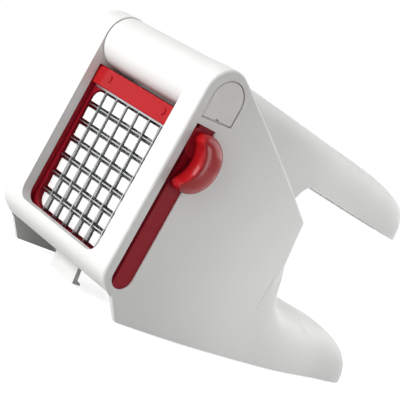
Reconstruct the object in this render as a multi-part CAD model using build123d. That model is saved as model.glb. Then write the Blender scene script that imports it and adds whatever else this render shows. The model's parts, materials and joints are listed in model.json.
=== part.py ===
from build123d import *
from math import atan2, copysign, cos, exp, hypot, pi, radians, sin, sqrt, tan
import os

# French fry cutter. Millimetres. X runs across the width (+X is the side with the knife knob), Y runs
# back from the front face of the frame, Z runs up from the table. Everything is drawn from the front
# face and moved back at the end, so that the origin lies on the table under the middle of the length.

# ---- Driving sizes ----
LENGTH = 242.0          # front face to the tip of the foot
HALF_WIDTH = 48.0       # outside of the cheeks
CHEEK = 13.0            # width of each cheek
INNER = HALF_WIDTH - CHEEK
WALL = 2.5              # moulded walls
EDGE_Z = 0.8            # lower edge of the white moulding above the table
TAPER_Y = 45.0          # the body narrows behind this

EDGE_R = 1.6            # outer edges of the cheeks

PIVOT_Y, PIVOT_Z = 13.6, 114.0
LUG_R = 13.6
HUB_R = 13.2
HUB_HALF = 34.4
SLOPE = 28.3            # fall of the cheeks' top edges, degrees
REAR_TOP_Y = 109.6      # rear wall at its top and where the foot flares out of it
REAR_LOW = (113.0, 57.7)
SHOULDER_R = 11.0
CORNER_R = 7.0          # upright corners of the rear wall
FOOT_TUCK = 0.2         # the foot leaves the rear wall this far inside its sides

FRAME_DEPTH = 5.4       # front frame, front face to back face
FRAME_LOW, FRAME_TOP = 12.2, 24.0
SILL_Y, SILL_Z = 8.6, 15.9      # foot of the frame, behind and above
WINDOW_R = 6.5
SEAT_Y = 17.5           # back of the cassette's seat
SEAT_LOW, SEAT_TOP = 18.3, 99.5

PITCH = 9.5             # chip size, blade to blade
CELLS = 7
GRID_Z = 56.3           # middle of the grid
GRID_HALF = PITCH * CELLS / 2
BLADE = 0.6
PEG_W, PEG_H = 7.1, 6.2
PEG_FACE_Y = 8.0        # peg faces with the pusher square to the blades
PUSHER_TILT = 2.1       # the lever stops this far short of square
PUSHER_Y = 24.0
PUSHER_LOW = 22.4

CHAMBER_R = 94.0        # curved floor about the pivot
SECTOR_R = 92.8         # lever side walls about the pivot
SECTOR_HALF = 32.5
RIB_Y = 56.0            # cross wall under the chamber; in front of it the underside is open
SKIRT_R = 98.0          # the inner walls end at this radius about the pivot
TAB_HALF, TAB_LOW = 10.5, 2.0   # catch under the mouth of the chamber

SLOT_FRONT, SLOT_LOW, SLOT_TOP = 5.3, 15.7, 99.0
SLOT_W = 12.6
GAP_Y = 8.0             # the slot is open right through in front of this
BAR_LOW, BAR_TOP = 90.0, 99.4

AXLE_R = 4.0
BUSH_R, BUSH_L = 6.5, 14.0
BORE_R = 5.0
SCREW_R, HEAD_R, HEAD_T = 1.5, 3.0, 1.4

CAP_Y, CAP_Z, CAP_R = 15.1, 113.4, 9.6      # pivot covers
CAP_LOW = (102.4, 103.8)                    # lower edge, front and back
CAP_SINK, CAP_PROUD = 1.4, 0.8
RAIL_W = 2.0
SLOT_SINK, LINER_T = 3.0, 2.2
RIB_TOP = 27.1
FLOOR_LIP = 76.0
SOLE_T, PLATE_TOP = 1.8, 4.4
PLATE_IN, SOLE_IN = 3.3, 4.2
REBATE_Y = 116.0
BOSS_R = 3.6
SOLE_SCREWS = [(-40.7, 66.0), (40.7, 66.0), (-27.0, 138.0), (27.0, 138.0), (0.0, 212.0)]

CASSETTE_Y, RETAINER_Y = 8.7, 14.1
OPENING_R, PEG_CORNER_R = 8.0, 5.0
V_FRONT, V_BACK = 8.6, 13.2                 # blades running up
H_FRONT, H_BACK = 9.4, 14.0                 # blades running across
LAP_Y = 11.2

CARRIER_Y = 27.0
HOLLOW_Y, HOLLOW_TOP = 34.0, 100.0      # front of the handle's hollow, top of the hollow behind the carrier
PUSHER_SCREWS = [(x, z) for x in (-23.75, 23.75) for z in (32.55, 80.05)]
COVER_RISE, COVER_T = 0.8, 2.2
COVER_SCREWS = (132.0, 188.0)

KNIFE_Y, KNIFE_T, KNIFE_HALF = 5.6, 2.2, 34.6
KNIFE_SCREWS, KNIFE_SCREW_Z = (-23.0, 23.0), 95.4
SHOE_X, SHOE_T = 47.35, 1.15
KNOB_BACK, KNOB_TOP = 48.52, 58.0
KNOB_Y, KNOB_Z, KNOB_R = 14.6, 82.6, 13.6
KNOB_WAIST, KNOB_HOLLOW_R = 12.4, 13.0      # bottom and radius of its hollow front
KNOB_DOME_R, KNOB_HORN_R, KNOB_EDGE_R = 24.0, 3.0, 2.2
KNOB_SCREW = (12.4, 90.4)

# Foot: ridge line (y, z) and half widths seen from above (half width, y)
RIDGE = [(106.0, 72.0), REAR_LOW, (117.0, 48.4), (122.9, 39.6), (131.0, 34.8), (143.0, 32.6),
         (160.0, 31.6), (176.0, 30.7), (190.0, 29.4), (203.0, 27.6), (216.0, 24.4), (227.0, 19.9),
         (235.0, 13.6), (239.6, 7.6), (241.4, 3.6)]
OUTLINE = [(HALF_WIDTH, TAPER_Y), (43.5, 105.0), (36.0, 155.0), (23.0, 208.0), (0.0, LENGTH)]
# Handle: station, half width, crown height
HANDLE = [(16.0, 32.5, 127.0), (45.0, 32.5, 125.2), (75.0, 32.5, 123.3), (105.0, 32.3, 121.2),
          (125.0, 30.6, 120.0), (150.0, 27.2, 118.7), (170.0, 24.8, 117.3), (185.0, 23.2, 115.8),
          (197.0, 21.6, 113.7), (206.0, 18.8, 111.2), (212.0, 14.4, 108.2), (215.2, 8.6, 105.0),
          (216.4, 1.8, 102.4)]
RIM = [(110.5, 96.6), (217.0, 90.1)]        # lower rim of the handle
WEB_Z, WEB_BEND = 88.0, (105.6, 93.6)       # the side walls curve out into the rim above this


# ---- Helpers ----
def block(x0, x1, y0, y1, z0, z1):
    return Pos((x0 + x1) / 2, (y0 + y1) / 2, (z0 + z1) / 2) * Box(x1 - x0, y1 - y0, z1 - z0)


def across(outline, x0, x1):
    """A (y, z) outline drawn out across the width."""
    return extrude(Plane.YZ.offset(x0) * outline, amount=x1 - x0)


def poly(*points):
    return make_face(Polyline(*points, close=True))


def rod(radius, x0, x1, y=PIVOT_Y, z=PIVOT_Z):
    return Pos((x0 + x1) / 2, y, z) * Rot(0, 90, 0) * Cylinder(radius, x1 - x0)


def post(radius, x, y, z0, z1):
    return Pos(x, y, (z0 + z1) / 2) * Cylinder(radius, z1 - z0)


def pin(radius, x, y0, y1, z):
    return Pos(x, (y0 + y1) / 2, z) * Rot(90, 0, 0) * Cylinder(radius, y1 - y0)


def turned(shape, angle):
    """Turned with the lever about the pivot; a positive angle lifts the handle."""
    return Pos(0, PIVOT_Y, PIVOT_Z) * Rot(angle, 0, 0) * Pos(0, -PIVOT_Y, -PIVOT_Z) * shape


def mirrored(shape):
    return mirror(shape, about=Plane.YZ)


def arch(y, half, base, top, power, inside):
    """A closed arch across the width, upright at its feet and crowned on top; insides have fewer steps."""
    points, steps = [], 8 if inside else 12
    for i in range(steps + 1):
        c, s = cos(pi * i / steps), sin(pi * i / steps)
        x, z = half * copysign(abs(c) ** (2 / power), c), base + (top - base) * abs(s) ** (2 / power)
        points.append((x, y, z))
    if inside:
        return make_face(Polyline(*points, close=True))
    curve = Spline(*points, tangents=((0, 0, 1), (0, 0, -1)))
    return make_face([curve, Line(points[-1], points[0])])


def half_width(y, inset=0.0):
    """Half width of the body seen from above."""
    line = Spline(*[(w, v) for w, v in OUTLINE], tangents=((0, 1), (-1, 0)))
    hit = line.intersect(Axis((0, y, 0), (1, 0, 0)))
    return hit.X if hasattr(hit, "X") else hit[0].X


def plan(inset, y0, z0, z1):
    """The body's outline seen from above, from y0 to the tip, between two heights."""
    points = [(max(w - inset, 0.0), min(v, LENGTH - inset)) for w, v in OUTLINE]
    side = Spline(*points, tangents=((0, 1), (-1, 0)))
    half, y = points[0]
    lines = [side, mirrored(side), *Polyline((half, y), (half, -5), (-half, -5), (-half, y)).edges()]
    return Pos(0, 0, z0) * extrude(make_face(lines), amount=z1 - z0) & block(-60, 60, y0, 250, z0 - 1, z1 + 1)


def crown(stations, base, power, inside):
    """A crowned solid through arches at (y, half width, top) stations; the insides are made of flats."""
    return loft([arch(y, w, base, top, power(y), inside) for y, w, top in stations], ruled=inside)


def foot_power(y):
    """Boxy where the foot leaves the body, rounder further back."""
    return 2.8 + 9.0 * min(1.0, exp((115 - y) / 13))


def foot(inset):
    """The foot, drawn in from its surface by the inset."""
    stations = []
    for i, (y, z) in enumerate(RIDGE):
        (ya, za), (yb, zb) = RIDGE[max(i - 1, 0)], RIDGE[min(i + 1, len(RIDGE) - 1)]
        run, drop = (yb - ya), (za - zb)
        size = hypot(run, drop)
        y_in, z_in = y - inset * drop / size, z - inset * run / size
        if z_in > EDGE_Z + 1:
            tuck = FOOT_TUCK * max(0.0, min(1.0, (131.0 - y) / 13.0))
            stations.append((y_in, max(half_width(y) - inset - tuck, 1.0), z_in))
    solid = crown(stations, -1.0, foot_power, inset > 0)
    return solid & block(-60, 60, 0, 250, -1.0 if inset else EDGE_Z, 90)


# ---- Fixed body ----
def cheek_outline():
    """Side view of the cheeks and front frame."""
    slope = radians(SLOPE)
    tangent = (PIVOT_Y + LUG_R * sin(slope), PIVOT_Z + LUG_R * cos(slope))
    shoulder = (REAR_TOP_Y, tangent[1] - (REAR_TOP_Y - tangent[0]) * tan(slope))
    crest = (PIVOT_Y - LUG_R * sin(pi / 5), PIVOT_Z + LUG_R * cos(pi / 5))
    lean = (REAR_LOW[0] - shoulder[0]) / (shoulder[1] - REAR_LOW[1])
    heel = (REAR_LOW[0] + lean * (REAR_LOW[1] - EDGE_Z), EDGE_Z)
    toe, chin = (20.5, EDGE_Z), (12.0, 10.8)
    lines = [
        Line(toe, chin),
        Spline(chin, (7.4, 13.4), (2.7, 17.0), (0.0, 25.0), tangents=((-1, 0.55), (0, 1))),
        Line((0.0, 25.0), (0.0, PIVOT_Z)),
        ThreePointArc((0.0, PIVOT_Z), crest, tangent),
        FilletPolyline(tangent, shoulder, heel, radius=SHOULDER_R),
        Line(heel, toe),
    ]
    return make_face(lines)


def slope_z(y, drop=0.0):
    """Height of the cheeks' sloping edge, less a drop square to it."""
    return PIVOT_Z + (LUG_R - drop) / cos(radians(SLOPE)) - (y - PIVOT_Y) * tan(radians(SLOPE))


def corner_cutter(low, high, radius):
    """Takes the sharp edge between a side wall and the rear wall off to a radius."""
    run = high - low
    low = low - run * 0.1
    along = Vector(half_width(low.Y - 12) - low.X, -12, 0).normalized()
    inward = Vector(-1, 0, 0)
    half = radians(along.get_angle(inward) / 2)
    centre = low + (along + inward).normalized() * (radius / sin(half))
    start, end = low + along * (radius / tan(half)), low + inward * (radius / tan(half))
    arc = ThreePointArc(start, centre + (low - centre).normalized() * radius, end)
    outside = Polyline(end, end + Vector(0, 3, 0), low + Vector(4, 4, 0), start + Vector(3, 0, 0), start)
    return extrude(make_face([arc, *outside.edges()]), amount=run.length * 1.4, dir=run.normalized())


def outer_edges(solid):
    """The edges round each cheek's outer face, apart from its foot."""
    return [e for e in solid.edges() if abs(e.center().X) > 36 and e.bounding_box().size.X < 7.5
            and e.center().Z > 14 and not (abs(e.center().Y - TAPER_Y) < 1 and e.bounding_box().size.Z > 50)]


def outer_block():
    """Cheeks, rear wall and foot before they are hollowed."""
    solid = across(cheek_outline(), -HALF_WIDTH - 1, HALF_WIDTH + 1) & plan(0, -1, -1, 140)
    corners = [e for e in solid.edges() if e.center().Y > 110 and e.bounding_box().size.Z > 40]
    right = max(corners, key=lambda e: e.center().X)
    low, high = sorted((right @ 0, right @ 1), key=lambda p: p.Z)
    cutter = corner_cutter(low, high, CORNER_R)
    return fillet(outer_edges(solid), EDGE_R) - cutter - mirrored(cutter) + foot(0.0)


def cheek_cavity():
    """Hollow of the cheeks, open underneath."""
    outline = poly((20.0, -2), (20.0, 96.0), (36.0, slope_z(36.0, WALL)), (104.5, slope_z(104.5, WALL)),
                   (107.0, 74.0), (110.5, 57.7), (112.0, -2))
    both = across(outline, -60, 60) & plan(WALL, 10, -2, 130)
    both -= block(-INNER - WALL, INNER + WALL, 0, 130, -3, 131)
    return both - block(-60, 60, RIB_Y, RIB_Y + WALL, -3, RIB_TOP)


def skirt_cavity():
    """The open underside in front of the cross wall, between the thin outer walls."""
    reach = sqrt(SKIRT_R ** 2 - (RIB_Y - PIVOT_Y) ** 2)
    mid_y = (SEAT_Y + RIB_Y) / 2
    mid = sqrt(SKIRT_R ** 2 - (mid_y - PIVOT_Y) ** 2)
    arc = ThreePointArc((SEAT_Y, SILL_Z + 0.2), (mid_y, PIVOT_Z - mid), (RIB_Y, PIVOT_Z - reach))
    lines = Polyline((RIB_Y, PIVOT_Z - reach), (RIB_Y, -2), (-2, -2), (-2, FRAME_LOW), (SILL_Y, FRAME_LOW),
                     (SILL_Y, SILL_Z), (SEAT_Y, SILL_Z + 0.2))
    return across(make_face([arc, *lines.edges()]), -60, 60) & plan(WALL, -3, -3, 60)


def channel():
    """Space between the cheeks: the window, the chamber and the hollow under its floor."""
    wall_foot = RIB_Y + WALL
    outline = poly((FRAME_DEPTH, SILL_Z), (FRAME_DEPTH, 131), (106.7, 131), (106.7, 74.0), (110.3, 57.7),
                   (112.0, -2), (wall_foot, -2), (wall_foot, RIB_TOP), (RIB_Y, RIB_TOP), (RIB_Y, SILL_Z))
    window = block(-INNER, INNER, -2, FRAME_DEPTH + 1, FRAME_TOP, 131)
    window = fillet([e for e in window.edges().filter_by(Axis.Y) if e.center().Z < FRAME_TOP + 1], WINDOW_R)
    return across(outline, -INNER, INNER) + window


def slot(x0, x1, y0=SLOT_FRONT, trim=0.0):
    """The slot beside the knob, round at its lower end."""
    y1 = SLOT_FRONT + SLOT_W
    full = block(x0, x1, SLOT_FRONT + trim, y1 - trim, SLOT_LOW + trim, SLOT_TOP - trim)
    ends = [e for e in full.edges().filter_by(Axis.X) if e.center().Z < SLOT_LOW + 1]
    full = fillet(ends, SLOT_W / 2 - trim - 0.01)
    return full & block(x0, x1, y0, y1, 0, 120)


def body_shell():
    outer = outer_block()
    shell = outer - cheek_cavity() - channel() - skirt_cavity() - foot(WALL)
    shell -= plan(PLATE_IN - 0.2, RIB_Y + WALL, -2, PLATE_TOP) & block(-60, 60, 0, REBATE_Y, -2, PLATE_TOP)
    shell += block(-INNER, INNER, FRAME_DEPTH - 1, SEAT_Y - 0.5, SEAT_LOW - 2.6, SEAT_LOW - 0.1)
    for x, y in SOLE_SCREWS:
        shell += post(BOSS_R, x, y, PLATE_TOP, 130) & outer
        shell -= post(SCREW_R + 0.05, x, y, -2, PLATE_TOP + 9)
    for side in (-1, 1):
        x0, x1 = sorted((side * (INNER - 1), side * (INNER + RAIL_W + 0.05)))
        shell -= block(x0, x1, FRAME_DEPTH, SEAT_Y + 0.05, SEAT_LOW - 0.05, SEAT_TOP + 0.1)
        x0, x1 = sorted((side * (HALF_WIDTH - CAP_SINK), side * (HALF_WIDTH + 2)))
        shell -= across(cap_outline(0.25), x0, x1)
    through = slot(INNER - 1, HALF_WIDTH) & block(0, 60, 0, GAP_Y, 0, 120)
    shell -= slot(HALF_WIDTH - SLOT_SINK, HALF_WIDTH + 2) + through
    shell -= rod(AXLE_R + 0.03, -HALF_WIDTH - 1, HALF_WIDTH + 1)
    return shell


def cap_outline(gap):
    """Arch-shaped cover over the pivot, grown by the gap, with a small notch in its lower edge."""
    r, (front_z, back_z) = CAP_R + gap, CAP_LOW
    front, back = (CAP_Y - r, front_z - gap), (CAP_Y + r, back_z - gap)
    middle = (front[1] + back[1]) / 2
    lines = [Line(front, (CAP_Y - r, CAP_Z)), Line((CAP_Y + r, CAP_Z), back),
             ThreePointArc((CAP_Y - r, CAP_Z), (CAP_Y, CAP_Z + r), (CAP_Y + r, CAP_Z))]
    if gap:
        lines.append(Line(back, front))
    else:
        slope = (back[1] - front[1]) / (2 * r)
        lines += Polyline(back, (CAP_Y + 1, middle + slope), (CAP_Y, middle + 1), (CAP_Y - 1, middle - slope),
                          front).edges()
    return make_face(lines)


def pivot_cap():
    cap = across(cap_outline(0.0), HALF_WIDTH - CAP_SINK, HALF_WIDTH + CAP_PROUD)
    outer = [e for e in cap.edges() if abs(e.center().X - HALF_WIDTH - CAP_PROUD) < 0.01]
    return chamfer([e for e in outer if e.center().Z > max(CAP_LOW) + 2], 0.3)


def chamber_floor():
    """Curved trough the lever's side walls swing over, with a lip to the rear wall and a catch in front."""
    half = INNER - 0.05
    ring = rod(CHAMBER_R + WALL, -half, half) - rod(CHAMBER_R, -half - 1, half + 1)
    ring &= block(-half, half, SEAT_Y + 0.1, 130, 0, FLOOR_LIP)
    lip = block(-half, half, 99.0, 106.3, FLOOR_LIP - WALL, FLOOR_LIP) - rod(CHAMBER_R, -40, 40)
    y, z = SEAT_Y + 0.1, TAB_LOW
    catch = across(poly((y, 19), (y, 11), (y + 1.4, z), (y + 6.2, z), (y + 6.2, z + 1), (y + 3.6, z + 2.2),
                        (y + 2.4, 11), (y + 2.4, 19)), -TAB_HALF, TAB_HALF)
    return ring + lip + catch


def base_plate():
    """Closes the underside behind the cross wall, let into the walls as far back as the foot begins."""
    plate = plan(PLATE_IN, RIB_Y + WALL + 0.1, SOLE_T, PLATE_TOP - 0.1) & block(-60, 60, 0, REBATE_Y, 0, 10)
    plate += foot(WALL + 0.15) & block(-60, 60, REBATE_Y - 1, 250, SOLE_T, PLATE_TOP - 0.1)
    for x, y in SOLE_SCREWS:
        plate -= post(SCREW_R + 0.2, x, y, 0, 10) + post(HEAD_R + 0.1, x, y, 0, SOLE_T + HEAD_T)
    return plate


def base_sole():
    """Rubber sheet under the base plate."""
    return plan(SOLE_IN, RIB_Y + WALL + 0.5, 0, SOLE_T)


def base_screws():
    low = SOLE_T + 0.1
    return [post(SCREW_R, x, y, low, PLATE_TOP + 8) + post(HEAD_R, x, y, low, SOLE_T + HEAD_T - 0.1)
            for x, y in SOLE_SCREWS]


# ---- Blades ----
LINES = [PITCH * (i - (CELLS - 2) / 2) for i in range(CELLS - 1)]


def opening(y0, y1):
    """The square opening of the cassette with its round corners."""
    hole = block(-GRID_HALF, GRID_HALF, y0, y1, GRID_Z - GRID_HALF, GRID_Z + GRID_HALF)
    return fillet(hole.edges().filter_by(Axis.Y), OPENING_R)


def cassette_screw_spots():
    return [(x, z) for x in (-28.5, 28.5) for z in (GRID_Z - GRID_HALF - 2.4, BAR_TOP - 5.0)]


def cassette_frame():
    half = INNER - 0.2
    body = block(-half, half, CASSETTE_Y, RETAINER_Y, SEAT_LOW, SEAT_TOP)
    body += block(-half, half, FRAME_DEPTH + 0.1, CASSETTE_Y, SEAT_LOW, 22.5)
    body -= opening(0, 20)
    top, low = GRID_Z + GRID_HALF, GRID_Z - GRID_HALF
    for c in LINES:
        body -= block(c - 0.35, c + 0.35, 8, V_BACK + 0.1, low - 2.4, top + 2.4)
        body -= block(-half + 0.3, half - 0.3, H_FRONT - 0.1, 15, GRID_Z + c - 0.35, GRID_Z + c + 0.35)
    for x, z in cassette_screw_spots():
        body -= pin(0.95, x, RETAINER_Y - 3.2, 20, z)
    return body


def blade_retainer():
    half = INNER - 0.2
    plate = block(-half, half, RETAINER_Y, SEAT_Y, SEAT_LOW, SEAT_TOP) - opening(0, 20)
    for x, z in cassette_screw_spots():
        plate -= pin(1.1, x, 0, 20, z) + pin(1.9, x, SEAT_Y - 1.1, 20, z)
    return plate


def retainer_screws():
    return [pin(0.9, x, RETAINER_Y - 3.0, SEAT_Y - 0.2, z) + pin(1.8, x, SEAT_Y - 1.1, SEAT_Y - 0.2, z)
            for x, z in cassette_screw_spots()]


def blades_vertical():
    low, top = GRID_Z - GRID_HALF - 2.3, GRID_Z + GRID_HALF + 2.3
    blades = []
    for c in LINES:
        blade = block(c - BLADE / 2, c + BLADE / 2, V_FRONT, V_BACK, low, top)
        for d in LINES:
            blade -= block(c - 1, c + 1, LAP_Y, 20, GRID_Z + d - 0.4, GRID_Z + d + 0.4)
        blades.append(blade)
    return blades


def blades_horizontal():
    half = INNER - 0.6
    blades = []
    for c in LINES:
        blade = block(-half, half, H_FRONT, H_BACK, GRID_Z + c - BLADE / 2, GRID_Z + c + BLADE / 2)
        for d in LINES:
            blade -= block(d - 0.4, d + 0.4, 0, LAP_Y + 0.1, GRID_Z + c - 1, GRID_Z + c + 1)
        blades.append(blade)
    return blades


def guide_rail(y0):
    return block(INNER, INNER + RAIL_W, y0, SEAT_Y, SEAT_LOW, SEAT_TOP)


def slot_liner():
    """Red backing of the slot, behind the open strip the knob's arm runs in."""
    x0 = HALF_WIDTH - SLOT_SINK
    return slot(x0, x0 + LINER_T, GAP_Y, 0.05)


# ---- Lever ----
def arm_outer(inset, base):
    """The lever seen as one crowned bar from hub to tip, drawn in from its surface by the inset."""
    stations = []
    for i, (y, w, z) in enumerate(HANDLE):
        stations.append((y - (inset if i > 6 else 0), max(w - inset, 0.9), z - inset))
    return crown(stations, base, lambda y: max(2.8, 5.0 - max(0.0, y - 100) / 40), inset > 0)


def sector_outline(radius, front, low):
    """Side wall of the lever inside the chamber, up to the handle."""
    top = RIM[0][1] + 3
    end = (PIVOT_Y + sqrt(radius ** 2 - (PIVOT_Z - WEB_Z) ** 2), WEB_Z)
    start = (PIVOT_Y + sqrt(radius ** 2 - (PIVOT_Z - low) ** 2), low)
    angle = (atan2(start[1] - PIVOT_Z, start[0] - PIVOT_Y) + atan2(end[1] - PIVOT_Z, end[0] - PIVOT_Y)) / 2
    mid = (PIVOT_Y + radius * cos(angle), PIVOT_Z + radius * sin(angle))
    web = (RIM[0][0] + 1, RIM[0][1] + 0.3)
    lines = Polyline(web, (web[0], top), (front, top), (front, low), start).edges()
    curve = Spline(end, WEB_BEND, web, tangents=((0.4, 1), (1, 0.1)))
    return make_face([ThreePointArc(start, mid, end), curve, *lines])


def rim_z(y):
    (y0, z0), (y1, z1) = RIM
    return z0 + (z1 - z0) * (y - y0) / (y1 - y0)


def under_handle(rise=0.0):
    """Everything below the rim line of the handle, raised, as far forward as its hollow."""
    y0, y1 = HOLLOW_Y, RIM[1][0]
    return across(poly((y0, rim_z(y0) + rise), (y1, rim_z(y1) + rise), (y1, 60), (y0, 60)), -40, 40)


def carrier():
    """Wall the pusher is screwed to."""
    wall = block(-SECTOR_HALF, SECTOR_HALF, CARRIER_Y, CARRIER_Y + 3, PUSHER_LOW + 1.5, 104)
    return turned(wall, PUSHER_TILT)


def lever_arm():
    outer = arm_outer(0.0, 86.0) - under_handle()
    inner = arm_outer(WALL, 80.0) & block(-40, 40, HOLLOW_Y, 220, 0, 130)
    walls = across(sector_outline(SECTOR_R, 30.0, 24.0), -SECTOR_HALF, SECTOR_HALF)
    half = SECTOR_HALF - WALL
    hollow = turned(block(-half, half, CARRIER_Y + 3, 106, 0, HOLLOW_TOP), PUSHER_TILT)
    arm = outer + walls - inner - hollow + carrier() + rod(HUB_R, -HUB_HALF, HUB_HALF)
    arm -= turned(block(-40, 40, 0, CARRIER_Y, 0, PIVOT_Z - HUB_R - 0.3), PUSHER_TILT)
    for y in COVER_SCREWS:
        arm += post(3.2, 0, y, rim_z(y) + COVER_RISE + COVER_T + 0.1, 118) & arm_outer(1.0, 86.0)
        arm -= post(SCREW_R + 0.05, 0, y, 80, rim_z(y) + COVER_RISE + COVER_T + 9)
    for side in (-1, 1):
        arm -= rod(BUSH_R + 0.03, *sorted((side * (HUB_HALF - BUSH_L), side * 40)))
    for x, z in PUSHER_SCREWS:
        arm -= turned(pin(SCREW_R + 0.2, x, 0, CARRIER_Y + 5, z), PUSHER_TILT)
    return arm - rod(BORE_R, -40, 40)


def handle_cover():
    """Closes the underside of the hollow handle."""
    plate = arm_outer(WALL + 0.25, 80.0) & block(-40, 40, RIM[0][0] + 1, 220, 0, 130)
    plate = (plate & under_handle(COVER_RISE + COVER_T)) - under_handle(COVER_RISE)
    for y in COVER_SCREWS:
        plate -= post(SCREW_R + 0.2, 0, y, 80, 110)
        plate -= post(HEAD_R + 0.1, 0, y, 80, rim_z(y) + COVER_RISE + HEAD_T)
    return plate


def handle_screws():
    screws = []
    for y in COVER_SCREWS:
        low = rim_z(y) + COVER_RISE + 0.3
        screws.append(post(SCREW_R, 0, y, low, low + 10) + post(HEAD_R, 0, y, low, low + HEAD_T - 0.4))
    return screws


def hub_bush():
    return rod(BUSH_R, HUB_HALF - BUSH_L + 0.05, HUB_HALF) - rod(AXLE_R + 0.06, 0, 40)


def pusher_plate():
    """Plate with one peg for each cell of the grid; the outer corners are rounded like the opening."""
    plate = block(-SECTOR_HALF, SECTOR_HALF, PUSHER_Y, CARRIER_Y - 0.05, PUSHER_LOW, 93.0)
    pegs = block(-GRID_HALF, GRID_HALF, PEG_FACE_Y, PUSHER_Y, GRID_Z - GRID_HALF, GRID_Z + GRID_HALF)
    corner = GRID_HALF - (PITCH - PEG_W) / 2
    outline = block(-corner, corner, 0, 40, GRID_Z - GRID_HALF + (PITCH - PEG_H) / 2,
                    GRID_Z + GRID_HALF - (PITCH - PEG_H) / 2)
    pegs &= fillet(outline.edges().filter_by(Axis.Y), PEG_CORNER_R)
    gap_x, gap_z = (PITCH - PEG_W) / 2, (PITCH - PEG_H) / 2
    for c in LINES:
        pegs -= block(c - gap_x, c + gap_x, 0, PUSHER_Y, 0, 120)
        pegs -= block(-40, 40, 0, PUSHER_Y, GRID_Z + c - gap_z, GRID_Z + c + gap_z)
    plate += pegs
    for x, z in PUSHER_SCREWS:
        plate -= pin(SCREW_R + 0.05, x, PUSHER_Y - 4, 40, z)
    return turned(plate, PUSHER_TILT)


def pusher_screws():
    front, back = PUSHER_Y - 3.5, CARRIER_Y + 3.1
    return [turned(pin(SCREW_R, x, front, back + 1, z) + pin(HEAD_R, x, back, back + 1.6, z), PUSHER_TILT)
            for x, z in PUSHER_SCREWS]


# ---- Knife slider ----
def knife_bar():
    """Red bar across the top of the window, with an arm out through the slot."""
    bar = block(-KNIFE_HALF, KNIFE_HALF, KNIFE_Y, KNIFE_Y + KNIFE_T, BAR_LOW, BAR_TOP)
    bar = fillet([e for e in bar.edges().filter_by(Axis.Y) if e.center().Z > BAR_TOP - 1], 2.5)
    front = [e for e in bar.edges() if abs(e.center().Y - KNIFE_Y) < 0.01]
    bar = chamfer(front, 0.4)
    bar += block(KNIFE_HALF - 2, SHOE_X, KNIFE_Y + 0.2, KNIFE_Y + KNIFE_T, BAR_LOW + 0.5, BAR_TOP - 2.5)
    for x in KNIFE_SCREWS:
        bar -= pin(1.3, x, 0, 10, KNIFE_SCREW_Z)
    return bar


def knife_blade():
    y = KNIFE_Y + KNIFE_T + 0.02
    blade = block(-KNIFE_HALF + 1, KNIFE_HALF - 1, y, y + 0.55, BAR_LOW - 1.0, BAR_TOP - 1.5)
    for x in KNIFE_SCREWS:
        blade -= pin(1.3, x, 0, 10, KNIFE_SCREW_Z)
    return blade


def knife_screws():
    """Rivets through the bar and the blade, with low heads in front."""
    y, back, z = KNIFE_Y - 0.05, KNIFE_Y + KNIFE_T + 0.57, KNIFE_SCREW_Z
    return [pin(1.25, x, y - 0.05, back, z) + pin(1.9, x, y - 0.45, y, z) for x in KNIFE_SCREWS]


def knife_shoe():
    """Plate that rides in the slot and carries the knob."""
    low, front = BAR_LOW - 6.5, SLOT_FRONT + 0.3
    shoe = block(SHOE_X + 0.02, SHOE_X + SHOE_T, front, front + SLOT_W - 0.6, low, BAR_TOP - 2.4)
    ends = [e for e in shoe.edges().filter_by(Axis.X) if e.center().Z < low + 1]
    shoe = fillet(ends, SLOT_W / 2 - 0.32)
    return shoe - rod(SCREW_R + 0.1, SHOE_X - 1, SHOE_X + 5, *KNOB_SCREW)


def knife_knob():
    """Kidney-shaped finger knob, hollow side to the front and domed outwards, flat against its shoe."""
    knob = rod(KNOB_R, KNOB_BACK, KNOB_TOP + 1, KNOB_Y, KNOB_Z)
    knob -= rod(KNOB_HOLLOW_R, KNOB_BACK - 1, KNOB_TOP + 2, KNOB_WAIST - KNOB_HOLLOW_R, KNOB_Z)
    knob = fillet(knob.edges().filter_by(Axis.X), KNOB_HORN_R)
    knob &= Pos(KNOB_TOP - KNOB_DOME_R, KNOB_Y + 1, KNOB_Z) * Sphere(KNOB_DOME_R)
    rim = [e for e in knob.edges() if e.center().X > KNOB_BACK + 1 and e.bounding_box().size.X < 3]
    knob = fillet(rim, KNOB_EDGE_R)
    return knob - rod(SCREW_R + 0.05, KNOB_BACK - 1, KNOB_BACK + 5.4, *KNOB_SCREW)


def knob_screw():
    return rod(SCREW_R, SHOE_X + 0.1, KNOB_BACK + 5.2, *KNOB_SCREW)


def main():
    pieces = {
        "body_shell": body_shell(),
        "chamber_floor": chamber_floor(),
        "base_plate": base_plate(),
        "base_sole": base_sole(),
        "base_screws": base_screws(),
        "pivot_axle": rod(AXLE_R, -HALF_WIDTH + CAP_SINK + 0.2, HALF_WIDTH - CAP_SINK - 0.2),
        "pivot_cap_right": pivot_cap(),
        "pivot_cap_left": mirrored(pivot_cap()),
        "cassette_frame": cassette_frame(),
        "blades_vertical": blades_vertical(),
        "blades_horizontal": blades_horizontal(),
        "blade_retainer": blade_retainer(),
        "retainer_screws": retainer_screws(),
        "guide_rail_right": guide_rail(GAP_Y),
        "guide_rail_left": mirrored(guide_rail(FRAME_DEPTH + 0.1)),
        "slot_liner": slot_liner(),
        "lever_arm": lever_arm(),
        "handle_cover": handle_cover(),
        "handle_screws": handle_screws(),
        "hub_bush_right": hub_bush(),
        "hub_bush_left": mirrored(hub_bush()),
        "pusher_plate": pusher_plate(),
        "pusher_screws": pusher_screws(),
        "knife_bar": knife_bar(),
        "knife_blade": knife_blade(),
        "knife_screws": knife_screws(),
        "knife_shoe": knife_shoe(),
        "knife_knob": knife_knob(),
        "knob_screw": knob_screw(),
    }
    os.makedirs("parts", exist_ok=True)
    for name, piece in pieces.items():
        solids = [s for p in (piece if isinstance(piece, list) else [piece]) for s in p.solids()]
        whole = solids[0] if len(solids) == 1 else Compound(solids)
        export_step(Pos(0, -LENGTH / 2, 0) * whole, f"parts/{name}.step")


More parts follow.
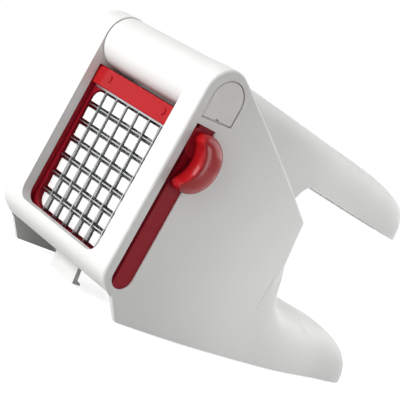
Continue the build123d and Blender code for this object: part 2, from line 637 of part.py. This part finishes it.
if __name__ == "__main__":
    main()
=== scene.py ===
import json
from math import acos, atan2, cos, pi, radians, sin

import bmesh
import bpy
from mathutils import Matrix, Vector


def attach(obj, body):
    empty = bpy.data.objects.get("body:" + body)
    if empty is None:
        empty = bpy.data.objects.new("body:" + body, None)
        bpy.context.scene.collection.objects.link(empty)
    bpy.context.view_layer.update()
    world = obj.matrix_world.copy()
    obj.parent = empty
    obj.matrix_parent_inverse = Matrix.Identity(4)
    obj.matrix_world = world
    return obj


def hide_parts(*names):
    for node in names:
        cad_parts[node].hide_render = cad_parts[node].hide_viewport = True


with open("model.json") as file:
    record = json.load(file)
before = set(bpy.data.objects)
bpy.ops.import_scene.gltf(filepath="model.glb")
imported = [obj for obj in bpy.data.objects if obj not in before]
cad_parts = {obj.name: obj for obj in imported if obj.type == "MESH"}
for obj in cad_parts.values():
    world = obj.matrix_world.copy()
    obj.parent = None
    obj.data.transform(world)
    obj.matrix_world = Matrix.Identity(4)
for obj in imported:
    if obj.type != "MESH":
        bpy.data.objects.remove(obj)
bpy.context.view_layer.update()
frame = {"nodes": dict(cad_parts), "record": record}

NODES = frame["nodes"]


def add_object(name, data):
    """A new object with this data, linked into the scene."""
    made = bpy.data.objects.new(name, data)
    bpy.context.scene.collection.objects.link(made)
    return made


# ---- Camera, from the photograph's perspective: distances in metres, angles in degrees ----
CAMERA_AT = Vector((0.4611, -0.4903, 0.1136))
AZIMUTH, ELEVATION, ROLL = 45.99, 4.51, 29.26
LENS_MM, SENSOR_MM = 113.37, 36
NEAREST, FARTHEST = 0.01, 50


def add_camera():
    """A camera looking along the azimuth and down by the elevation, rolled so that the object leans."""
    az, el, roll = radians(AZIMUTH), radians(ELEVATION), radians(ROLL)
    forward = Vector((-sin(az) * cos(el), cos(az) * cos(el), -sin(el)))
    level = Vector((cos(az), sin(az), 0))
    upright = level.cross(forward)
    right = level * cos(roll) + upright * sin(roll)
    up = right.cross(forward)
    data = bpy.data.cameras.new("camera")
    data.lens = LENS_MM
    data.sensor_width = SENSOR_MM
    data.sensor_fit = "HORIZONTAL"
    data.clip_start, data.clip_end = NEAREST, FARTHEST
    camera = add_object("camera", data)
    turn = Matrix((right, up, -forward)).transposed().to_4x4()
    camera.matrix_world = Matrix.Translation(CAMERA_AT) @ turn
    bpy.context.scene.camera = camera


# ---- Materials: noise scales in cells per metre, bump heights in metres ----
WHITE = (0.80, 0.80, 0.785)
PEG_WHITE = (0.86, 0.86, 0.85)
GREY = (0.42, 0.42, 0.41)
COVER_GREY = (0.75, 0.725, 0.71)
RED = (0.42, 0.008, 0.012)
# painted shade: darker than RED, partly the matte cassette and slot liner's own red and partly the shade on
# these recessed, side-facing surfaces
RED_WITH_PAINTED_SHADE = (0.29, 0.006, 0.017)
BLACK = (0.03, 0.03, 0.03)
TURNED_STEEL = (0.56, 0.56, 0.56)
# painted shade: the blade steel is darker than the turned steel, partly its own tone and partly the shade and
# dark reflections in the gaps between the pegs
BLADE_STEEL_WITH_PAINTED_SHADE = (0.45, 0.46, 0.47)

CLOUD_SCALE, WAVE_SCALE, GLOSS_SCALE, GRAIN_SCALE = 18, 55, 240, 2600
WAVE_HEIGHT, GRAIN_HEIGHT, GLOSS_GRAIN_HEIGHT = 0.00012, 0.00004, 0.00001
LIGHTER_SHARE = 0.4                          # of the spread goes to the lighter side, all of it to the darker
PLASTIC_ROUGH_DOWN, PLASTIC_ROUGH_UP = 0.05, 0.06

SCRATCH_SCALE, SCRATCH_HEIGHT = 900, 0.00002
SCRATCH_DARK, SCRATCH_LIGHT = 0.86, 1.08
STEEL_ROUGH_DOWN, STEEL_ROUGH_UP = 0.08, 0.1
TURNED, ALONG_BLADE = (1, 1, 30), (40, 1, 1)   # how much finer the scratches are along x, y and z

SPECK_SCALE, SPECK_HEIGHT = 1500, 0.00008
SPECK_DARK, SPECK_LIGHT = 0.7, 1.3
RUBBER_SCALE, RUBBER_ROUGH_LOW, RUBBER_ROUGH_HIGH = 90, 0.72, 0.9


class Graph:
    """Short-hand for building one material's nodes."""

    def __init__(self, name):
        self.material = bpy.data.materials.new(name)
        self.material.use_nodes = True
        self.tree = self.material.node_tree
        self.tree.nodes.clear()
        self.place = self.node("ShaderNodeTexCoord").outputs["Object"]

    def node(self, kind, **settings):
        made = self.tree.nodes.new(kind)
        for key, value in settings.items():
            setattr(made, key, value)
        return made

    def link(self, source, target):
        self.tree.links.new(source, target)

    def noise(self, scale, detail=3.0, stretch=None):
        made = self.node("ShaderNodeTexNoise")
        made.inputs["Scale"].default_value = scale
        made.inputs["Detail"].default_value = detail
        place = self.place
        if stretch:
            mapping = self.node("ShaderNodeMapping")
            mapping.inputs["Scale"].default_value = stretch
            self.link(place, mapping.inputs["Vector"])
            place = mapping.outputs["Vector"]
        self.link(place, made.inputs["Vector"])
        return made.outputs["Fac"]

    def between(self, fac, low, high, start=0.3, end=0.7):
        """The span that a noise mostly covers, start to end, mapped to low to high."""
        made = self.node("ShaderNodeMapRange")
        made.inputs["From Min"].default_value = start
        made.inputs["From Max"].default_value = end
        made.inputs["To Min"].default_value = low
        made.inputs["To Max"].default_value = high
        self.link(fac, made.inputs["Value"])
        return made.outputs["Result"]

    def mix(self, fac, low, high):
        made = self.node("ShaderNodeMix", data_type="RGBA")
        made.inputs["A"].default_value = (*low, 1)
        made.inputs["B"].default_value = (*high, 1)
        self.link(fac, made.inputs["Factor"])
        return made.outputs["Result"]

    def bump(self, height, strength, distance, under=None):
        made = self.node("ShaderNodeBump")
        made.inputs["Strength"].default_value = strength
        made.inputs["Distance"].default_value = distance
        self.link(height, made.inputs["Height"])
        if under:
            self.link(under, made.inputs["Normal"])
        return made.outputs["Normal"]

    def surface(self, **sockets):
        """A Principled surface; sockets are named with underscores, and hold values or other nodes' outputs."""
        shader = self.node("ShaderNodeBsdfPrincipled")
        for key, value in sockets.items():
            target = shader.inputs[key.replace("_", " ")]
            if hasattr(value, "is_linked"):
                self.link(value, target)
            else:
                target.default_value = value
        output = self.node("ShaderNodeOutputMaterial")
        self.link(shader.outputs["BSDF"], output.inputs["Surface"])
        return self.material


def shade(colour, factor):
    return tuple(min(1.0, c * factor) for c in colour)


def moulded(name, colour, rough, spread=0.04, grain=GRAIN_HEIGHT, **extra):
    """Injection-moulded plastic: faint cloudy colour, fine spark-eroded grain, slow flow waviness."""
    g = Graph(name)
    clouds = g.noise(CLOUD_SCALE, 2)
    fine = g.noise(GRAIN_SCALE, 2)
    waves = g.noise(WAVE_SCALE, 1)
    darker, lighter = shade(colour, 1 - spread), shade(colour, 1 + spread * LIGHTER_SHARE)
    colour_out = g.mix(g.between(clouds, 0, 1), darker, lighter)
    rough_out = g.between(g.noise(GLOSS_SCALE, 3), rough - PLASTIC_ROUGH_DOWN, rough + PLASTIC_ROUGH_UP)
    normal = g.bump(fine, 0.35, grain, g.bump(waves, 0.25, WAVE_HEIGHT))
    return g.surface(Base_Color=colour_out, Roughness=rough_out, Normal=normal, **extra)


def brushed(name, colour, rough, stretch):
    """Ground steel with fine scratches along one direction."""
    g = Graph(name)
    scratches = g.noise(SCRATCH_SCALE, 4, stretch)
    darker, lighter = shade(colour, SCRATCH_DARK), shade(colour, SCRATCH_LIGHT)
    colour_out = g.mix(g.between(scratches, 0, 1), darker, lighter)
    rough_out = g.between(scratches, rough - STEEL_ROUGH_DOWN, rough + STEEL_ROUGH_UP)
    normal = g.bump(scratches, 0.3, SCRATCH_HEIGHT)
    return g.surface(Base_Color=colour_out, Roughness=rough_out, Metallic=1.0, Normal=normal)


def rubber(name, colour):
    """Matt rubber with a fine speckle."""
    g = Graph(name)
    speck = g.noise(SPECK_SCALE, 4)
    darker, lighter = shade(colour, SPECK_DARK), shade(colour, SPECK_LIGHT)
    colour_out = g.mix(g.between(speck, 0, 1), darker, lighter)
    rough_out = g.between(g.noise(RUBBER_SCALE, 2), RUBBER_ROUGH_LOW, RUBBER_ROUGH_HIGH)
    return g.surface(Base_Color=colour_out, Roughness=rough_out, Normal=g.bump(speck, 0.6, SPECK_HEIGHT))


def make_materials():
    return {
        "white_plastic": moulded("white_abs", WHITE, 0.46, Specular_IOR_Level=0.25),
        "peg_plastic": moulded("peg_abs", PEG_WHITE, 0.3, spread=0.02),
        "grey_plastic": moulded("grey_abs", GREY, 0.5),
        "cap_plastic": moulded("cap_abs", COVER_GREY, 0.42),
        # the cassette and slot liner take the red that is darkened with painted shade
        "red_plastic": moulded("red_abs", RED_WITH_PAINTED_SHADE, 0.45, Specular_IOR_Level=0.15),
        "red_gloss": moulded("gloss_red_abs", RED, 0.17, spread=0.08, grain=GLOSS_GRAIN_HEIGHT,
                             Coat_Weight=0.12, Specular_IOR_Level=0.15, Coat_Roughness=0.05),
        "rubber": rubber("black_rubber", BLACK),
        "steel": brushed("turned_steel", TURNED_STEEL, 0.32, TURNED),
        # the blades' steel is darkened with painted shade
        "blade_steel": brushed("blade_steel_painted_shade", BLADE_STEEL_WITH_PAINTED_SHADE, 0.26, ALONG_BLADE),
    }


def dress_nodes(materials):
    """Every CAD node gets the material of the slot that the record names for it."""
    slots = {part["node"]: part["material_slot"] for part in frame["record"]["subparts"]}
    for name, obj in NODES.items():
        obj.data.materials.clear()
        obj.data.materials.append(materials[slots[name]])


# ---- Shared by the two modelled forms, whose sizes are in millimetres ----
MM = 0.001


def ring_faces(rings, count):
    """Four-sided faces between neighbouring closed rings of count points each."""
    faces = []
    for ring in range(rings - 1):
        for i in range(count):
            here, there = ring * count + i, ring * count + (i + 1) % count
            faces.append((here, here + count, there + count, there))
    return faces


def half_turn(steps):
    """Angles from 0 to a half turn in even steps."""
    return (pi * i / steps for i in range(steps + 1))


# ---- Pivot covers: flush in their pockets, with a groove that is widest behind and below ----
POCKET_FLOOR = 46.65
COVER_Y, COVER_Z, COVER_R = -106.1, 113.4, 9.35
COVER_LOW, COVER_SLOPE = 103.5, 0.073        # middle of the lower edge, and its rise towards the back
NOTCH_HALF, NOTCH_HIGH = 1.3, 0.8
COVER_EDGE = ((0.0, 0.0), (0.75, 0.0), (1.05, 0.06), (1.22, 0.2), (1.28, 0.42), (1.29, 0.6))  # height, inset
ARC_STEPS, NOTCH_STEPS = 32, 8


def cover_outline(inset):
    """The arch's outline as (y, z) points, in millimetres, shrunk by the inset."""
    r = COVER_R - inset

    def lower(dy, lift=0.0):
        return (COVER_Y + dy, COVER_LOW + COVER_SLOPE * dy + inset + lift)

    arc = [(COVER_Y - r * cos(a), COVER_Z + r * sin(a)) for a in half_turn(ARC_STEPS)]
    notch = [lower(NOTCH_HALF * cos(a), NOTCH_HIGH * sin(a)) for a in half_turn(NOTCH_STEPS)]
    return arc + [lower(r)] + notch + [lower(-r)]


def pivot_cover(name, side, node, material):
    """A plate with a rounded rim in the pocket of one cheek; side is 1 on the right and -1 on the left."""
    rings = [(POCKET_FLOOR + height, cover_outline(inset)) for height, inset in COVER_EDGE]
    count = len(rings[0][1])
    points = [(side * x * MM, y * MM, z * MM) for x, ring in rings for y, z in ring]
    ends = [tuple(range(count)), tuple(reversed(range(len(points) - count, len(points))))]
    faces = ends + ring_faces(len(rings), count)
    if side < 0:
        faces = [tuple(reversed(face)) for face in faces]
    mesh = bpy.data.meshes.new(name)
    mesh.from_pydata(points, [], faces)
    for face in mesh.polygons:
        face.use_smooth = face.index >= len(ends)
    mesh.materials.append(material)
    cover = add_object(name, mesh)
    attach(cover, "body")
    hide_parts(node)


# ---- Finger knob: a kidney with a soft crest that follows its hollow side ----
KNOB_BACK, KNOB_HEIGHT, KNOB_Z = 48.52, 7.2, 82.4
OUTER_Y, OUTER_R = -106.2, 14.5              # round back of the kidney
HOLLOW_Y, HOLLOW_R = -121.6, 13.0            # its hollow front
HORN_R = 3.0
CREST = 0.08                                 # share of the width between the hollow and the crest
CROWN_POWER, SLOPE_POWER = 0.8, 0.9          # below 1 is fuller than a half circle
HORN_WIDTH, HORN_POWER = 4.0, 0.25           # sections narrower than about this width are lower
KNOB_ALONG, KNOB_ACROSS = 64, 28
BACK_MARGIN = 0.01                           # a face that rises less than this lies on the flat back
MERGE_METRES = 0.00002


def arc_points(y, z, radius, start, end, steps=40):
    return [Vector((y + radius * cos(a), z + radius * sin(a)))
            for a in (start + (end - start) * i / steps for i in range(steps + 1))]


def evenly(points, count):
    """The polyline again, with its points at even distances."""
    lengths = [0.0]
    for a, b in zip(points, points[1:]):
        lengths.append(lengths[-1] + (b - a).length)
    out, k = [], 0
    for i in range(count + 1):
        at = lengths[-1] * i / count
        while k < len(points) - 2 and lengths[k + 1] < at:
            k += 1
        share = (at - lengths[k]) / (lengths[k + 1] - lengths[k])
        out.append(points[k].lerp(points[k + 1], share))
    return out


def kidney_sides():
    """The hollow and the round side of the outline, each from the lower horn's tip to the upper one's."""
    gap = OUTER_Y - HOLLOW_Y
    to_outer, to_hollow = OUTER_R - HORN_R, HOLLOW_R + HORN_R
    lean = acos((to_hollow ** 2 + gap ** 2 - to_outer ** 2) / (2 * to_hollow * gap))
    horn = Vector((HOLLOW_Y + to_hollow * cos(lean), to_hollow * sin(lean)))
    back = atan2(horn.y, horn.x - OUTER_Y)
    tip = (back + pi + lean) / 2
    hollow = arc_points(HOLLOW_Y, 0, HOLLOW_R, 0, lean) + arc_points(*horn, HORN_R, pi + lean, tip)[1:]
    outer = arc_points(OUTER_Y, 0, OUTER_R, 0, back) + arc_points(*horn, HORN_R, back, tip)[1:]
    halves = (evenly(side, KNOB_ALONG // 2) for side in (hollow, outer))
    return [[Vector((p.x, -p.y)) for p in reversed(half[1:])] + half for half in halves]


def knob_section(inner, outer):
    """Points over the knob from its hollow side to its round side."""
    width = (outer - inner).length
    height = KNOB_HEIGHT * (width ** 2 / (width ** 2 + HORN_WIDTH ** 2)) ** HORN_POWER
    points = []
    for a in half_turn(KNOB_ACROSS):
        if a < pi / 2:
            share = CREST * (1 - cos(a))
        else:
            share = CREST + (1 - CREST) * max(0.0, -cos(a)) ** SLOPE_POWER
        y, z = inner.lerp(outer, share)
        x = KNOB_BACK + height * max(0.0, sin(a)) ** CROWN_POWER
        points.append((x * MM, y * MM, (z + KNOB_Z) * MM))
    return points


def finger_knob(material):
    """The knob as one closed skin: sections over it, and a flat back that closes each of them."""
    sections = [knob_section(a, b) for a, b in zip(*kidney_sides())]
    points = [p for section in sections for p in section]
    mesh = bpy.data.meshes.new("finger_knob")
    mesh.from_pydata(points, [], ring_faces(len(sections), KNOB_ACROSS + 1))
    shape = bmesh.new()
    shape.from_mesh(mesh)
    bmesh.ops.remove_doubles(shape, verts=shape.verts, dist=MERGE_METRES)
    bmesh.ops.recalc_face_normals(shape, faces=shape.faces)
    for face in shape.faces:
        face.smooth = max(v.co.x for v in face.verts) > (KNOB_BACK + BACK_MARGIN) * MM
    shape.to_mesh(mesh)
    shape.free()
    mesh.materials.append(material)
    knob = add_object("finger_knob", mesh)
    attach(knob, "knife")
    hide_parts("knife_knob")


# ---- Stage and light: distances in metres, power in watts ----
FLOOR_HALF = 6.0
FLOOR_DARK, FLOOR_LIGHT = (0.84, 0.84, 0.84), (0.87, 0.87, 0.87)
FLOOR_SCALE = 1.5
FLOOR_GLOW = 0.8                             # added where the background shows, so that the floor looks white
UNSEEN_FLOOR = (0.5, 0.5, 0.5)               # the floor's colour for light that it bounces onto the object
WORLD_FILL = 0.24                            # the world's strength for that light; where it shows, it is 1
MIDDLE = (0, 0, 0.06)


def background_rays(tree):
    """1 for the rays that show the background: the camera's, and those a surface mirrors or lets through."""
    path = tree.nodes.new("ShaderNodeLightPath")
    total = path.outputs["Is Camera Ray"]
    for kind in ("Is Glossy Ray", "Is Transmission Ray"):
        both = tree.nodes.new("ShaderNodeMath")
        both.operation = "ADD"
        both.use_clamp = True
        tree.links.new(total, both.inputs[0])
        tree.links.new(path.outputs[kind], both.inputs[1])
        total = both.outputs["Value"]
    return total


def white_stage():
    """A floor that shows white and keeps the object's shadow."""
    corners = [(FLOOR_HALF * x, FLOOR_HALF * y, 0) for x, y in ((-1, -1), (1, -1), (1, 1), (-1, 1))]
    mesh = bpy.data.meshes.new("floor")
    mesh.from_pydata(corners, [], [(0, 1, 2, 3)])
    floor = add_object("floor", mesh)
    g = Graph("floor_white")
    diffuse = g.node("ShaderNodeBsdfDiffuse")
    glow = g.node("ShaderNodeEmission")
    shown = background_rays(g.tree)
    paint = g.node("ShaderNodeMix", data_type="RGBA")
    g.link(g.mix(g.between(g.noise(FLOOR_SCALE), 0, 1), FLOOR_DARK, FLOOR_LIGHT), paint.inputs["B"])
    paint.inputs["A"].default_value = (*UNSEEN_FLOOR, 1)
    g.link(shown, paint.inputs["Factor"])
    g.link(paint.outputs["Result"], diffuse.inputs["Color"])
    glow_strength = g.node("ShaderNodeMath", operation="MULTIPLY")
    g.link(shown, glow_strength.inputs[0])
    glow_strength.inputs[1].default_value = FLOOR_GLOW
    g.link(glow_strength.outputs["Value"], glow.inputs["Strength"])
    add = g.node("ShaderNodeAddShader")
    g.link(diffuse.outputs["BSDF"], add.inputs[0])
    g.link(glow.outputs["Emission"], add.inputs[1])
    output = g.node("ShaderNodeOutputMaterial")
    g.link(add.outputs["Shader"], output.inputs["Surface"])
    mesh.materials.append(g.material)


def white_world():
    """White where the background shows, and a weak even fill for diffuse light."""
    world = bpy.data.worlds.new("world")
    bpy.context.scene.world = world
    world.use_nodes = True
    tree = world.node_tree
    background = tree.nodes["Background"]
    background.inputs["Color"].default_value = (1, 1, 1, 1)
    strength = tree.nodes.new("ShaderNodeMapRange")
    strength.inputs["To Min"].default_value = WORLD_FILL
    strength.inputs["To Max"].default_value = 1.0
    tree.links.new(background_rays(tree), strength.inputs["Value"])
    tree.links.new(strength.outputs["Result"], background.inputs["Strength"])


def area_light(name, at, towards, width, height, watts, mirrored=True):
    """A rectangular lamp that the camera can't see; mirrored says whether shiny surfaces show it."""
    data = bpy.data.lights.new(name, "AREA")
    data.shape = "RECTANGLE"
    data.size, data.size_y = width, height
    data.energy = watts
    lamp = add_object(name, data)
    lamp.location = at
    lamp.visible_glossy = mirrored
    lamp.visible_camera = False
    lamp.rotation_euler = (Vector(towards) - Vector(at)).to_track_quat("-Z", "Y").to_euler()


def add_lights():
    """Three broad lamps, key, rear and fill, and three small ones towards the right cheek and its knob."""
    area_light("key", (-0.2, -1.3, 0.4), MIDDLE, 0.8, 0.8, 16)
    area_light("strip", (0.34, -1.0, 0.2), (0.04, -0.1, 0.08), 0.1, 0.9, 1.6, mirrored=False)
    area_light("side", (0.15, 0.015, 0.07), (0.048, 0.0, 0.05), 0.1, 0.1, 0.036, mirrored=False)
    area_light("glint", (0.75, 0.62, 0.13), (0.055, -0.106, 0.083), 0.16, 0.3, 0.9)
    area_light("rear", (0.1, 1.2, 0.9), MIDDLE, 1.4, 1.4, 12)
    area_light("fill", (-0.9, 0.5, 0.5), MIDDLE, 0.8, 0.8, 5, mirrored=False)


def main():
    add_camera()
    bpy.context.scene.view_settings.view_transform = "Standard"
    white_world()
    white_stage()
    add_lights()
    materials = make_materials()
    dress_nodes(materials)
    pivot_cover("cover_right", 1, "pivot_cap_right", materials["cap_plastic"])
    pivot_cover("cover_left", -1, "pivot_cap_left", materials["cap_plastic"])
    finger_knob(materials["red_gloss"])


main()
